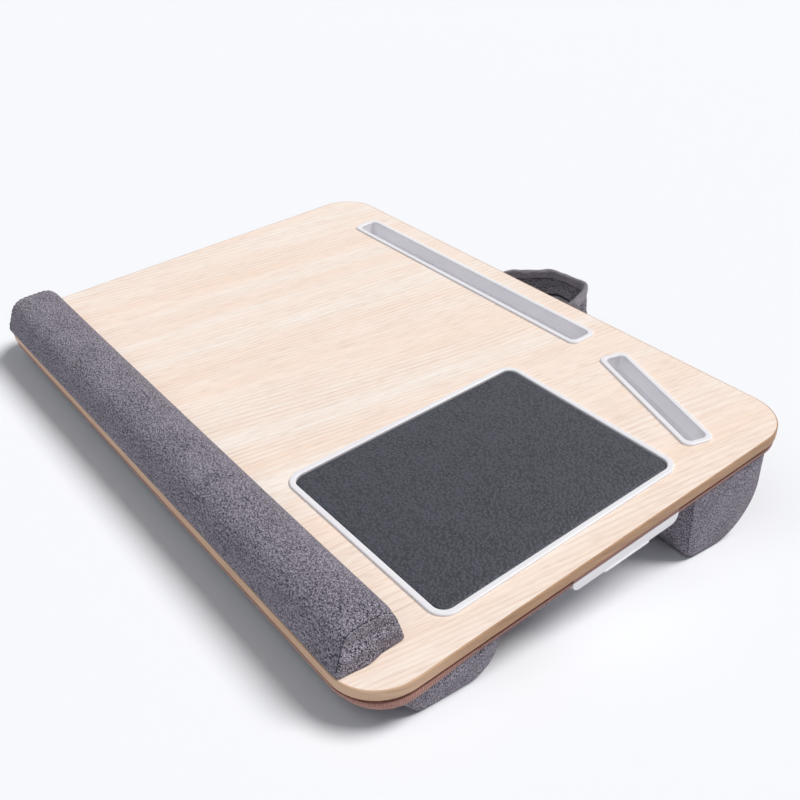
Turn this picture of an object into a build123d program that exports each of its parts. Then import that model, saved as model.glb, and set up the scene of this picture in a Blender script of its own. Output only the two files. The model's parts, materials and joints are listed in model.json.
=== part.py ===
from build123d import *
import os
from math import cos, radians, sin

# Cushioned lap desk in millimetres: +X right, +Y away from the user, +Z up, the floor at Z = 0.
# The board is tilted towards the user. Places on it are (x, v), with v towards its back edge,
# and w stands along its normal, with 0 on its top face at its centre.

# Board and its edge band
board_width = 550.0
board_depth = 390.0
board_thickness = 8.2
board_corner_radius = 35.0
board_tilt = 9.4
board_height = 62.0
edge_band_thickness = 1.0
edge_band_round = 0.7

# Base panel, and the tape round its lower edge
base_thickness = 5.3
base_inset = 2.5
base_tape_thickness = 1.5
base_tape_height = 2.4

# Clearances and the overrun of cuts
overrun = 2.0
pocket_gap = 0.2
base_cut_gap = 2.5
seat_gap = 0.05
screw_gap = 0.05
rivet_gap = 0.05
slide_gap = 0.4
stop_gap = 0.2
swing_gap = 0.4

# Mouse tray with its foam and leather pad
mouse_pad_width = 160.0
mouse_pad_radius = 8.5
mouse_right_margin = 21.0
mouse_wrist_gap = 18.2
mouse_phone_gap = 17.3
mouse_rim_width = 5.0
mouse_floor = 1.8
mouse_leather_thickness = 1.4
mouse_leather_drop = 1.2

# Rims of all three trays
rim_height = 1.5
rim_overlap = 2.2
rim_round = 1.2

# Slots for a tablet and a phone
slot_radius = 4.2
slot_floor = 1.0
slot_rim_width = 4.5
slot_rim_radius = 7.0
tablet_slot_width = 19.0
tablet_left_margin = 68.0
tablet_back_margin = 18.3
tablet_phone_gap = 25.8
phone_slot_length = 116.0
phone_slot_width = 16.0
phone_right_distance = 87.0
phone_back_distance = 55.0
phone_angle = -18.5

# Padded covers
cover_thickness = 1.2
cover_gap = 0.15
pad_end_dome = 3.0
pad_end_inset = 6.0
pad_seam_inset = 1.6
pad_end_taper = 30.0
pad_crown = 1.6
floor_cut = 0.5

# Wrist rest along the front edge
wrist_side_margin = 25.5
wrist_front_margin = 0.8
wrist_width = 51.0
wrist_height = 27.5
wrist_front_lean = 4.0
wrist_back_lean = 9.0
wrist_front_radius = 15.0
wrist_back_radius = 19.0
wrist_backing_thickness = 1.5
wrist_backing_inset = 1.5

# Bolster cushions under the base panel
cushion_side_margin = 2.5
front_cushion_margin = 23.5
front_cushion_width = 77.5
front_cushion_front_lean = 12.0
front_cushion_back_lean = 19.0
front_cushion_front_radius = 24.0
front_cushion_back_radius = 28.0
rear_cushion_width = 82.5
rear_cushion_front_lean = 5.0
rear_cushion_back_lean = -4.0
rear_cushion_front_radius = 12.0
rear_cushion_back_radius = 40.0

# Drawer and its rails
drawer_length = 160.0
drawer_depth = 8.0
drawer_wall = 1.6
drawer_floor = 1.4
drawer_inner_radius = 4.0
drawer_cushion_gap = 7.0
drawer_top_gap = 3.6
drawer_travel = 110.0
drawer_front_setback = 0.5
drawer_front_thickness = 3.5
drawer_front_side = 2.0
drawer_front_radius = 6.0
drawer_grip_drop = 1.0
drawer_grip_radius = 0.8
drawer_grip_ledge = 0.5
drawer_grip_ledge_height = 1.4
lip_width = 3.5
lip_thickness = 1.5
tooth_width = 1.7
tooth_length = 4.0
rail_thickness = 1.8
rail_flange = 7.0
rail_stop_length = 5.0

# Screws
base_screw_radius = 1.7
base_screw_head_radius = 3.4
base_screw_head_height = 1.8
base_screw_grip = 6.0
screw_edge_margin = 12.0
tray_screw_radius = 1.4
tray_screw_head_radius = 2.6
tray_screw_head_height = 1.2
tray_screw_grip = 3.8
tray_screw_inset = 11.0
pan_screw_radius = 1.5
pan_head_radius = 3.0
pan_head_height = 1.9
pan_head_round = 0.8
pan_screw_grip = 3.8
cross_width = 0.8
cross_depth = 0.9

# Carry strap, its brackets and rivets
handle_offset = -6.5
handle_span = 81.0
handle_reach = 56.0
handle_rise = 13.0
handle_edge_distance = 8.0
handle_drop = 20.5
handle_cushion_gap = 5.5
strap_width = 32.0
strap_thickness = 5.0
strap_corner_radius = 13.0
bracket_thickness = 1.5
bracket_ear_radius = 6.5
bracket_flange_length = 20.0
rivet_radius = 2.5
rivet_head_radius = 4.6
rivet_head_height = 1.2

# Width of the drawer as a share of the room between the cushions, and of its grip as a share of the drawer
drawer_room_share = 0.5424
drawer_grip_share = 0.448

# Corners of the strap seen on its own plane: across as shares of half the span, out as shares of the reach
strap_across_shares = (-1.0, -1.0, -0.12, 0.86, 1.0, 1.0)
strap_out_shares = (0.0, 0.40, 0.985, 1.0, 0.32, 0.0)

# Places of the screws as shares of the room between the outermost ones
edge_screw_shares = (-1.0, -0.36, 0.36, 1.0)
side_screw_shares = (-0.40, 0.40)
rail_screw_shares = (0.12, 0.50, 0.88)
bracket_screw_shares = (0.26, 0.68)

os.makedirs("parts", exist_ok=True)

# The tilted board, and the levels and depths below it
tilt = radians(board_tilt)
base_level = -(board_thickness + base_thickness)
front_edge = -board_depth / 2
back_edge = board_depth / 2
right_edge = board_width / 2
left_edge = -board_width / 2

# The hinge line of the strap lies below the base panel, in front of the board's back edge
hinge_v = back_edge - handle_edge_distance
hinge_w = base_level - handle_drop
strap_tilt = tilt + radians(handle_rise)

# How far the desk reaches before and behind the board's centre, so that the origin is under its middle
front_reach = -front_edge * cos(tilt)
hinge_y = hinge_v * cos(tilt) - hinge_w * sin(tilt)
strap_end = handle_reach + strap_thickness / 2
back_reach = hinge_y + strap_end * cos(strap_tilt) + strap_width / 2 * sin(strap_tilt)
board_y = (front_reach - back_reach) / 2

board = Plane(
    origin=(0, board_y, board_height), x_dir=(1, 0, 0), z_dir=(0, -sin(tilt), cos(tilt))
)
board_axis = Axis(board.origin, board.z_dir)
board_underside = board.offset(-board_thickness)
base_underside = board.offset(base_level)


def facing_down(plane):
    """The same plane seen from below: its x stays, its y turns to the front."""
    return Plane(origin=plane.origin, x_dir=plane.x_dir, z_dir=-plane.z_dir)


def across(x):
    """A plane square to X, on which a place is (v, w)."""
    return Plane(origin=board.from_local_coords((x, 0, 0)), x_dir=board.y_dir, z_dir=(1, 0, 0))


def floor_w(v, lift):
    """The w of the place at v that stands lift above the floor."""
    return (lift - board_height - v * sin(tilt)) / cos(tilt)


# Room that the slanted phone tray takes to each side of its middle
phone_turn = radians(abs(phone_angle))
phone_outer_length = phone_slot_length + 2 * slot_rim_width
phone_outer_width = phone_slot_width + 2 * slot_rim_width
phone_place = (right_edge - phone_right_distance, back_edge - phone_back_distance)
phone_reach_x = phone_outer_length / 2 * cos(phone_turn) + phone_outer_width / 2 * sin(phone_turn)
phone_reach_v = phone_outer_length / 2 * sin(phone_turn) + phone_outer_width / 2 * cos(phone_turn)

# The tablet tray ends before the phone tray
tablet_start = left_edge + tablet_left_margin
tablet_end = phone_place[0] - phone_reach_x - tablet_phone_gap
tablet_outer_length = tablet_end - tablet_start
tablet_outer_width = tablet_slot_width + 2 * slot_rim_width
tablet_slot_length = tablet_outer_length - 2 * slot_rim_width
tablet_place = (
    (tablet_start + tablet_end) / 2,
    back_edge - tablet_back_margin - tablet_outer_width / 2,
)

# The mouse tray fills the depth between the wrist rest and the phone tray
wrist_front = front_edge + wrist_front_margin
wrist_back = wrist_front + wrist_width
mouse_start = wrist_back + mouse_wrist_gap
mouse_end = phone_place[1] - phone_reach_v - mouse_phone_gap
mouse_outer_width = mouse_pad_width + 2 * mouse_rim_width
mouse_outer_depth = mouse_end - mouse_start
mouse_pad_depth = mouse_outer_depth - 2 * mouse_rim_width
mouse_place = (right_edge - mouse_right_margin - mouse_outer_width / 2, (mouse_start + mouse_end) / 2)

# Size of a tray's body, which goes through the board under its rim
tray_step = rim_overlap + pocket_gap
mouse_cut_width = mouse_outer_width - 2 * rim_overlap
mouse_cut_depth = mouse_outer_depth - 2 * rim_overlap
mouse_body_radius = mouse_pad_radius + mouse_rim_width - tray_step
slot_body_radius = slot_rim_radius - tray_step
tablet_cut = (tablet_outer_length - 2 * rim_overlap, tablet_outer_width - 2 * rim_overlap)
phone_cut = (phone_outer_length - 2 * rim_overlap, phone_outer_width - 2 * rim_overlap)

# Room under the base panel: the rear cushion stands clear of the strap, the drawer lies between the cushions
rear_cushion_margin = handle_edge_distance + strap_width / 2 + handle_cushion_gap
rear_cushion_front = back_edge - rear_cushion_margin - rear_cushion_width
front_cushion_front = front_edge + front_cushion_margin
drawer_room = rear_cushion_front - front_cushion_front - front_cushion_width
drawer_width = drawer_room_share * drawer_room
drawer_grip_width = drawer_grip_share * drawer_width

# Places of the drawer along X
drawer_face = right_edge - drawer_front_setback - drawer_front_thickness
drawer_back = drawer_face - drawer_length
drawer_middle = (drawer_face + drawer_back) / 2
drawer_top = -(board_thickness + drawer_top_gap)
drawer_bottom = drawer_top - drawer_depth
drawer_side = drawer_width / 2
drawer_front_width = drawer_width + 2 * drawer_front_side

# Heights of the drawer's lips and of the rails' ledges, and distances from the drawer's middle line
lip_top = base_level - slide_gap
lip_bottom = lip_top - lip_thickness
ledge_top = lip_bottom - slide_gap
ledge_bottom = ledge_top - rail_thickness
lip_outer = drawer_side + lip_width
web_inner = lip_outer + tooth_width + slide_gap
web_outer = web_inner + rail_thickness
flange_outer = web_outer + rail_flange
drawer_place = rear_cushion_front - drawer_cushion_gap - flange_outer
rail_back = drawer_back - slide_gap
rail_front = drawer_face - overrun
rail_length = rail_front - rail_back
stop_back = drawer_back + tooth_length + drawer_travel + stop_gap

# Places of the screws
side_screw_x = right_edge - screw_edge_margin
end_screw_v = back_edge - screw_edge_margin
edge_screw_reach = right_edge - board_corner_radius
base_screw_places = [
    (share * edge_screw_reach, side * end_screw_v)
    for side in (-1, 1)
    for share in edge_screw_shares
]
base_screw_places += [
    (side * side_screw_x, share * board_depth)
    for side in (-1, 1)
    for share in side_screw_shares
]
mouse_screw_places = [
    (mouse_place[0] + i * (mouse_pad_width / 2 - tray_screw_inset),
     mouse_place[1] + j * (mouse_pad_depth / 2 - tray_screw_inset))
    for i in (-1, 1)
    for j in (-1, 1)
]
rail_screw_distance = web_outer + rail_flange / 2
rail_screw_places = [
    (rail_back + share * rail_length, drawer_place + side * rail_screw_distance)
    for side in (-1, 1)
    for share in rail_screw_shares
]
strap_root = handle_span / 2
ear_inner = strap_root + strap_thickness / 2 + swing_gap
ear_outer = ear_inner + bracket_thickness
bracket_screw_places = [
    (handle_offset + side * (ear_outer + share * bracket_flange_length), hinge_v)
    for side in (-1, 1)
    for share in bracket_screw_shares
]


def seen_from_below(places):
    """Places (x, v) as they read on a plane that faces down."""
    return [(x, -v) for x, v in places]


# Top board: a core inside the edge band, cut through for the three trays
core_width = board_width - 2 * edge_band_thickness
core_depth = board_depth - 2 * edge_band_thickness
core_radius = board_corner_radius - edge_band_thickness
with BuildPart() as top_board:
    with BuildSketch(board):
        RectangleRounded(core_width, core_depth, core_radius)
        with Locations(mouse_place):
            RectangleRounded(mouse_cut_width, mouse_cut_depth, mouse_body_radius, mode=Mode.SUBTRACT)
        with Locations(tablet_place):
            RectangleRounded(*tablet_cut, slot_body_radius, mode=Mode.SUBTRACT)
        with Locations(phone_place):
            RectangleRounded(*phone_cut, slot_body_radius, rotation=phone_angle, mode=Mode.SUBTRACT)
    extrude(amount=-board_thickness)
    with BuildSketch(board_underside):
        with Locations(*base_screw_places):
            Circle(base_screw_radius + screw_gap)
    extrude(amount=base_screw_grip + screw_gap, mode=Mode.SUBTRACT)
top_board.part.label = "top_board"
export_step(top_board.part, "parts/top_board.step")

# Edge band: a ring round the core with its outer edges eased
with BuildPart() as edge_band:
    with BuildSketch(board):
        RectangleRounded(board_width, board_depth, board_corner_radius)
        RectangleRounded(core_width, core_depth, core_radius, mode=Mode.SUBTRACT)
    extrude(amount=-board_thickness)
    band_ends = edge_band.faces().filter_by(board_axis).sort_by(board_axis)
    fillet(band_ends[-1].outer_wire().edges() + band_ends[0].outer_wire().edges(), edge_band_round)
edge_band.part.label = "edge_band"
export_step(edge_band.part, "parts/edge_band.step")

# Base panel: cut out with room round the slot trays, for the drawer and for the drawer's front
base_width = board_width - 2 * base_inset
base_depth = board_depth - 2 * base_inset
base_radius = board_corner_radius - base_inset
base_cut_radius = slot_body_radius + base_cut_gap
drawer_cut_start = drawer_back - 2 * slide_gap
front_cut_start = drawer_face - slide_gap
with BuildPart() as base_panel:
    with BuildSketch(board_underside):
        RectangleRounded(base_width, base_depth, base_radius)
        with Locations(tablet_place):
            RectangleRounded(
                *[side + 2 * base_cut_gap for side in tablet_cut], base_cut_radius, mode=Mode.SUBTRACT
            )
        with Locations(phone_place):
            RectangleRounded(
                *[side + 2 * base_cut_gap for side in phone_cut],
                base_cut_radius,
                rotation=phone_angle,
                mode=Mode.SUBTRACT,
            )
        with Locations((drawer_cut_start, drawer_place)):
            Rectangle(
                right_edge,
                drawer_width + 2 * slide_gap,
                align=(Align.MIN, Align.CENTER),
                mode=Mode.SUBTRACT,
            )
        with Locations((front_cut_start, drawer_place)):
            Rectangle(
                right_edge,
                drawer_front_width + 2 * slide_gap,
                align=(Align.MIN, Align.CENTER),
                mode=Mode.SUBTRACT,
            )
    extrude(amount=-base_thickness)
    with BuildSketch(base_underside):
        with Locations(*base_screw_places):
            Circle(base_screw_radius + screw_gap)
    extrude(amount=base_thickness, mode=Mode.SUBTRACT)
    with BuildSketch(base_underside):
        with Locations(*base_screw_places):
            Circle(base_screw_head_radius + screw_gap)
    extrude(amount=base_screw_head_height + screw_gap, mode=Mode.SUBTRACT)
    with BuildSketch(base_underside):
        with Locations(*rail_screw_places, *bracket_screw_places):
            Circle(pan_screw_radius + screw_gap)
    extrude(amount=pan_screw_grip + screw_gap, mode=Mode.SUBTRACT)
    with BuildSketch(board_underside):
        with Locations(*mouse_screw_places):
            Circle(tray_screw_radius + screw_gap)
    extrude(amount=-(tray_screw_grip + screw_gap), mode=Mode.SUBTRACT)
base_panel.part.label = "base_panel"
export_step(base_panel.part, "parts/base_panel.step")

# Edge tape: a strip round the base panel's lower edge, open where the drawer's front comes through.
# Over the drawer's front a strip under the board closes the gap.
drawer_strip_height = drawer_top_gap - slide_gap
drawer_strip_depth = right_edge - drawer_front_setback - front_cut_start
with BuildPart() as base_edge_tape:
    with BuildSketch(base_underside):
        RectangleRounded(
            base_width + 2 * base_tape_thickness,
            base_depth + 2 * base_tape_thickness,
            base_radius + base_tape_thickness,
        )
        RectangleRounded(base_width, base_depth, base_radius, mode=Mode.SUBTRACT)
        with Locations((front_cut_start, drawer_place)):
            Rectangle(
                right_edge,
                drawer_front_width + 2 * slide_gap,
                align=(Align.MIN, Align.CENTER),
                mode=Mode.SUBTRACT,
            )
    extrude(amount=base_tape_height)
    with BuildSketch(board_underside):
        with Locations((front_cut_start, drawer_place)):
            Rectangle(drawer_strip_depth, drawer_front_width, align=(Align.MIN, Align.CENTER))
    extrude(amount=-drawer_strip_height)
base_edge_tape.part.label = "base_edge_tape"
export_step(base_edge_tape.part, "parts/base_edge_tape.step")


def slot_tray(place, angle, slot_length, slot_width):
    """A tray with a rim on the board and a deep slot that goes through the board and the base panel."""
    outer = (slot_length + 2 * slot_rim_width, slot_width + 2 * slot_rim_width)
    body_depth = -base_level - seat_gap
    with BuildPart() as tray:
        with BuildSketch(board):
            with Locations(place):
                RectangleRounded(*outer, slot_rim_radius, rotation=angle)
        extrude(amount=rim_height)
        rim_top = tray.faces().sort_by(board_axis)[-1]
        fillet(rim_top.edges(), rim_round)
        with BuildSketch(board):
            with Locations(place):
                RectangleRounded(
                    outer[0] - 2 * tray_step, outer[1] - 2 * tray_step, slot_body_radius, rotation=angle
                )
        extrude(amount=-body_depth)
        with BuildSketch(board.offset(rim_height)):
            with Locations(place):
                RectangleRounded(slot_length, slot_width, slot_radius, rotation=angle)
        extrude(amount=-(rim_height + body_depth - slot_floor), mode=Mode.SUBTRACT)
        mouth = tray.faces().sort_by(board_axis)[-1].inner_wires()[0]
        fillet(mouth.edges(), rim_round)
    return tray.part


tablet_tray = slot_tray(tablet_place, 0, tablet_slot_length, tablet_slot_width)
tablet_tray.label = "tablet_tray"
export_step(tablet_tray, "parts/tablet_tray.step")

phone_tray = slot_tray(phone_place, phone_angle, phone_slot_length, phone_slot_width)
phone_tray.label = "phone_tray"
export_step(phone_tray, "parts/phone_tray.step")

# Mouse tray: a shallow frame whose floor lies on the base panel
mouse_bottom = -(board_thickness - pocket_gap)
mouse_floor_top = mouse_bottom + mouse_floor
with BuildPart() as mouse_tray:
    with BuildSketch(board):
        with Locations(mouse_place):
            RectangleRounded(mouse_outer_width, mouse_outer_depth, mouse_pad_radius + mouse_rim_width)
    extrude(amount=rim_height)
    fillet(mouse_tray.faces().sort_by(board_axis)[-1].edges(), rim_round)
    with BuildSketch(board):
        with Locations(mouse_place):
            RectangleRounded(
                mouse_outer_width - 2 * tray_step, mouse_outer_depth - 2 * tray_step, mouse_body_radius
            )
    extrude(amount=mouse_bottom)
    with BuildSketch(board.offset(rim_height)):
        with Locations(mouse_place):
            RectangleRounded(
                mouse_pad_width + 2 * pocket_gap, mouse_pad_depth + 2 * pocket_gap, mouse_pad_radius
            )
    extrude(amount=mouse_floor_top - rim_height, mode=Mode.SUBTRACT)
    fillet(mouse_tray.faces().sort_by(board_axis)[-1].inner_wires()[0].edges(), rim_round)
    with BuildSketch(board.offset(mouse_floor_top)):
        with Locations(*mouse_screw_places):
            Circle(tray_screw_radius + screw_gap)
    extrude(amount=-(mouse_floor + overrun), mode=Mode.SUBTRACT)
    with BuildSketch(board.offset(mouse_floor_top)):
        with Locations(*mouse_screw_places):
            Circle(tray_screw_head_radius + screw_gap)
    extrude(amount=-(tray_screw_head_height + screw_gap), mode=Mode.SUBTRACT)
mouse_tray.part.label = "mouse_tray"
export_step(mouse_tray.part, "parts/mouse_tray.step")

# Leather on foam, filling the tray to just under its rim
leather_top = rim_height - mouse_leather_drop
foam_top = leather_top - mouse_leather_thickness
with BuildPart() as mouse_pad_foam:
    with BuildSketch(board.offset(mouse_floor_top)):
        with Locations(mouse_place):
            RectangleRounded(mouse_pad_width, mouse_pad_depth, mouse_pad_radius)
    extrude(amount=foam_top - mouse_floor_top)
mouse_pad_foam.part.label = "mouse_pad_foam"
export_step(mouse_pad_foam.part, "parts/mouse_pad_foam.step")

with BuildPart() as mouse_pad_leather:
    with BuildSketch(board.offset(foam_top)):
        with Locations(mouse_place):
            RectangleRounded(mouse_pad_width, mouse_pad_depth, mouse_pad_radius)
    extrude(amount=mouse_leather_thickness)
mouse_pad_leather.part.label = "mouse_pad_leather"
export_step(mouse_pad_leather.part, "parts/mouse_pad_leather.step")


def flush_screws(plane, places, radius, length, head_radius, head_height):
    """Cross-head screws with a low head let in flush with the plane, which their heads face."""
    with BuildPart() as screws:
        with BuildSketch(plane):
            with Locations(*places):
                Circle(radius)
        extrude(amount=-length)
        with BuildSketch(plane):
            with Locations(*places):
                Circle(head_radius)
        extrude(amount=-head_height)
        with BuildSketch(plane):
            with Locations(*places):
                Rectangle(head_radius, cross_width)
                Rectangle(cross_width, head_radius)
        extrude(amount=-cross_depth, mode=Mode.SUBTRACT)
    return screws.part


base_screws = flush_screws(
    facing_down(base_underside),
    seen_from_below(base_screw_places),
    base_screw_radius,
    base_thickness + base_screw_grip,
    base_screw_head_radius,
    base_screw_head_height,
)
base_screws.label = "base_screws"
export_step(base_screws, "parts/base_screws.step")

mouse_tray_screws = flush_screws(
    board.offset(mouse_floor_top),
    mouse_screw_places,
    tray_screw_radius,
    mouse_floor_top + board_thickness + tray_screw_grip,
    tray_screw_head_radius,
    tray_screw_head_height,
)
mouse_tray_screws.label = "mouse_tray_screws"
export_step(mouse_tray_screws, "parts/mouse_tray_screws.step")


def pan_screws(level, places):
    """Pan-head screws under a plate whose lower face is at the level, driven up into the base panel."""
    plane = facing_down(board.offset(level))
    with BuildPart() as screws:
        with BuildSketch(plane):
            with Locations(*seen_from_below(places)):
                Circle(pan_head_radius)
        extrude(amount=pan_head_height)
        heads = screws.faces().filter_by(board_axis).group_by(board_axis)[0]
        fillet(heads.edges(), pan_head_round)
        with BuildSketch(plane):
            with Locations(*seen_from_below(places)):
                Circle(pan_screw_radius)
        extrude(amount=-(base_level - level + pan_screw_grip))
        with BuildSketch(plane.offset(pan_head_height)):
            with Locations(*seen_from_below(places)):
                Rectangle(pan_head_radius, cross_width)
                Rectangle(cross_width, pan_head_radius)
        extrude(amount=-cross_depth, mode=Mode.SUBTRACT)
    return screws.part


def padded_solid(corners, radii, half_length, inset, wall_ends):
    """A soft bar along X: sections with two rounded corners, drawn in at the seams, domed at the ends."""
    end = half_length - wall_ends
    seam = end - pad_end_dome
    body = seam - pad_end_taper
    stations = [(end, pad_end_inset), (seam, pad_seam_inset), (body, 0), (0, -pad_crown)]
    stations += [(-x, drawn) for x, drawn in reversed(stations[:-1])]
    with BuildPart() as solid:
        for x, drawn in stations:
            inward = inset + drawn
            points = corners(inward, inset + max(drawn, 0))
            drawn_radii = [radius * radius / (radius + inward) for radius in radii]
            with BuildSketch(across(x)):
                with BuildLine():
                    FilletPolyline(*points, radius=drawn_radii)
                    Line(points[-1], points[0])
                make_face()
        loft(ruled=True)
    return solid.part


# Wrist rest: backing strip, foam core and fabric cover
wrist_half_length = right_edge - wrist_side_margin
wrist_base = wrist_backing_thickness + seat_gap
wrist_radii = (wrist_front_radius, wrist_back_radius)


def wrist_corners(inward, lift):
    """Corners of the wrist rest's section, from its front foot over the top to its back foot."""
    top = wrist_height - lift
    return (
        (wrist_front + inward, wrist_base),
        (wrist_front + wrist_front_lean + inward, top),
        (wrist_back - wrist_back_lean - inward, top),
        (wrist_back - inward, wrist_base),
    )


with BuildPart() as wrist_rest_backing:
    with BuildSketch(board):
        with Locations((0, (wrist_front + wrist_back) / 2)):
            Rectangle(
                2 * (wrist_half_length - pad_end_dome - wrist_backing_inset),
                wrist_width - 2 * wrist_backing_inset - 2 * pad_seam_inset,
            )
    extrude(amount=wrist_backing_thickness)
wrist_rest_backing.part.label = "wrist_rest_backing"
export_step(wrist_rest_backing.part, "parts/wrist_rest_backing.step")

wrist_form = padded_solid(wrist_corners, wrist_radii, wrist_half_length, 0, 0)
wrist_hollow = padded_solid(wrist_corners, wrist_radii, wrist_half_length, cover_thickness, cover_thickness)
with BuildPart() as wrist_rest_cover:
    add(wrist_form)
    add(wrist_hollow, mode=Mode.SUBTRACT)
wrist_rest_cover.part.label = "wrist_rest_cover"
export_step(wrist_rest_cover.part, "parts/wrist_rest_cover.step")

core_inset = cover_thickness + cover_gap
wrist_core_form = padded_solid(wrist_corners, wrist_radii, wrist_half_length, core_inset, core_inset)
with BuildPart() as wrist_rest_core:
    add(wrist_core_form)
wrist_rest_core.part.label = "wrist_rest_core"
export_step(wrist_rest_core.part, "parts/wrist_rest_core.step")

# Bolster cushions: each hangs from the base panel and stands flat on the floor
cushion_half_length = right_edge - cushion_side_margin
cushion_top = base_level - seat_gap


def cushion_corners(front, width, front_lean, back_lean):
    """A function that gives a bolster's corners, from its front top down over the floor to its back top."""
    back = front + width

    def corners(inward, lift):
        foot_front = front + front_lean + inward
        foot_back = back - back_lean - inward
        return (
            (front + inward, cushion_top),
            (foot_front, floor_w(foot_front, lift - floor_cut)),
            (foot_back, floor_w(foot_back, lift - floor_cut)),
            (back - inward, cushion_top),
        )

    return corners


front_cushion_corners = cushion_corners(
    front_cushion_front,
    front_cushion_width,
    front_cushion_front_lean,
    front_cushion_back_lean,
)
front_cushion_radii = (front_cushion_front_radius, front_cushion_back_radius)
rear_cushion_corners = cushion_corners(
    rear_cushion_front,
    rear_cushion_width,
    rear_cushion_front_lean,
    rear_cushion_back_lean,
)
rear_cushion_radii = (rear_cushion_front_radius, rear_cushion_back_radius)


def bolster(corners, radii):
    """The cover of a bolster, open to the base panel and flat on the floor, and the filling inside it."""
    form = padded_solid(corners, radii, cushion_half_length, 0, 0)
    hollow = padded_solid(corners, radii, cushion_half_length, cover_thickness, cover_thickness)
    filling = padded_solid(corners, radii, cushion_half_length, core_inset, core_inset)
    with BuildPart() as cover:
        add(form)
        add(hollow, mode=Mode.SUBTRACT)
        split(bisect_by=Plane.XY, keep=Keep.TOP)
    return cover.part, filling


front_cushion_cover, front_cushion_core = bolster(front_cushion_corners, front_cushion_radii)
front_cushion_cover.label = "front_cushion_cover"
export_step(front_cushion_cover, "parts/front_cushion_cover.step")
front_cushion_core.label = "front_cushion_core"
export_step(front_cushion_core, "parts/front_cushion_core.step")

rear_cushion_cover, rear_cushion_core = bolster(rear_cushion_corners, rear_cushion_radii)
rear_cushion_cover.label = "rear_cushion_cover"
export_step(rear_cushion_cover, "parts/rear_cushion_cover.step")
rear_cushion_core.label = "rear_cushion_core"
export_step(rear_cushion_core, "parts/rear_cushion_core.step")

# Drawer: a shallow tray with side lips, stop teeth and a front with a finger grip
grip_bottom = drawer_bottom - drawer_grip_drop
with BuildPart() as drawer_tray:
    with BuildSketch(board.offset(drawer_top)):
        with Locations((drawer_middle, drawer_place)):
            Rectangle(drawer_length, drawer_width)
    extrude(amount=-drawer_depth)
    with BuildSketch(board.offset(lip_top)):
        with Locations((drawer_middle, drawer_place)):
            Rectangle(drawer_length, 2 * lip_outer)
        with Locations((drawer_back, drawer_place)):
            Rectangle(tooth_length, 2 * (lip_outer + tooth_width), align=(Align.MIN, Align.CENTER))
    extrude(amount=-lip_thickness)
    with BuildSketch(across(drawer_face)) as drawer_front:
        with Locations((drawer_place, drawer_bottom)):
            Rectangle(drawer_front_width, drawer_depth, align=(Align.CENTER, Align.MIN))
        fillet(drawer_front.vertices().group_by(Axis.Y)[0], drawer_front_radius)
        with Locations((drawer_place, grip_bottom)):
            Rectangle(drawer_grip_width, drawer_depth, align=(Align.CENTER, Align.MIN))
        fillet(drawer_front.vertices().group_by(Axis.Y)[0], drawer_grip_radius)
    extrude(amount=drawer_front_thickness)
    with BuildSketch(across(drawer_face + drawer_front_thickness)):
        with Locations((drawer_place, grip_bottom)):
            Rectangle(
                drawer_grip_width - 2 * drawer_grip_radius,
                drawer_grip_ledge_height,
                align=(Align.CENTER, Align.MIN),
            )
    extrude(amount=drawer_grip_ledge)
    with BuildSketch(board.offset(drawer_top)):
        with Locations((drawer_middle, drawer_place)):
            RectangleRounded(
                drawer_length - 2 * drawer_wall, drawer_width - 2 * drawer_wall, drawer_inner_radius
            )
    extrude(amount=-(drawer_depth - drawer_floor), mode=Mode.SUBTRACT)
drawer_tray.part.label = "drawer_tray"
export_step(drawer_tray.part, "parts/drawer_tray.step")


def drawer_rail(side):
    """A channel under the base panel that carries one lip of the drawer and stops its tooth."""
    outline = (
        (web_inner, base_level),
        (flange_outer, base_level),
        (flange_outer, base_level - rail_thickness),
        (web_outer, base_level - rail_thickness),
        (web_outer, ledge_bottom),
        (drawer_side + slide_gap, ledge_bottom),
        (drawer_side + slide_gap, ledge_top),
        (web_inner, ledge_top),
    )
    stop_inner = lip_outer + slide_gap
    with BuildPart() as rail:
        with BuildSketch(across(rail_back)):
            with BuildLine():
                Polyline(*[(drawer_place + side * d, w) for d, w in outline], close=True)
            make_face()
        extrude(amount=rail_length)
        with BuildSketch(across(stop_back)):
            with Locations((drawer_place + side * (stop_inner + web_inner) / 2, ledge_top)):
                Rectangle(web_inner - stop_inner, base_level - ledge_top, align=(Align.CENTER, Align.MIN))
        extrude(amount=rail_stop_length)
        with BuildSketch(base_underside):
            with Locations(*rail_screw_places):
                Circle(pan_screw_radius + screw_gap)
        extrude(amount=-rail_thickness, mode=Mode.SUBTRACT)
    return rail.part


drawer_rail_front = drawer_rail(-1)
drawer_rail_front.label = "drawer_rail_front"
export_step(drawer_rail_front, "parts/drawer_rail_front.step")

drawer_rail_rear = drawer_rail(1)
drawer_rail_rear.label = "drawer_rail_rear"
export_step(drawer_rail_rear, "parts/drawer_rail_rear.step")

drawer_rail_screws = pan_screws(base_level - rail_thickness, rail_screw_places)
drawer_rail_screws.label = "drawer_rail_screws"
export_step(drawer_rail_screws, "parts/drawer_rail_screws.step")

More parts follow.
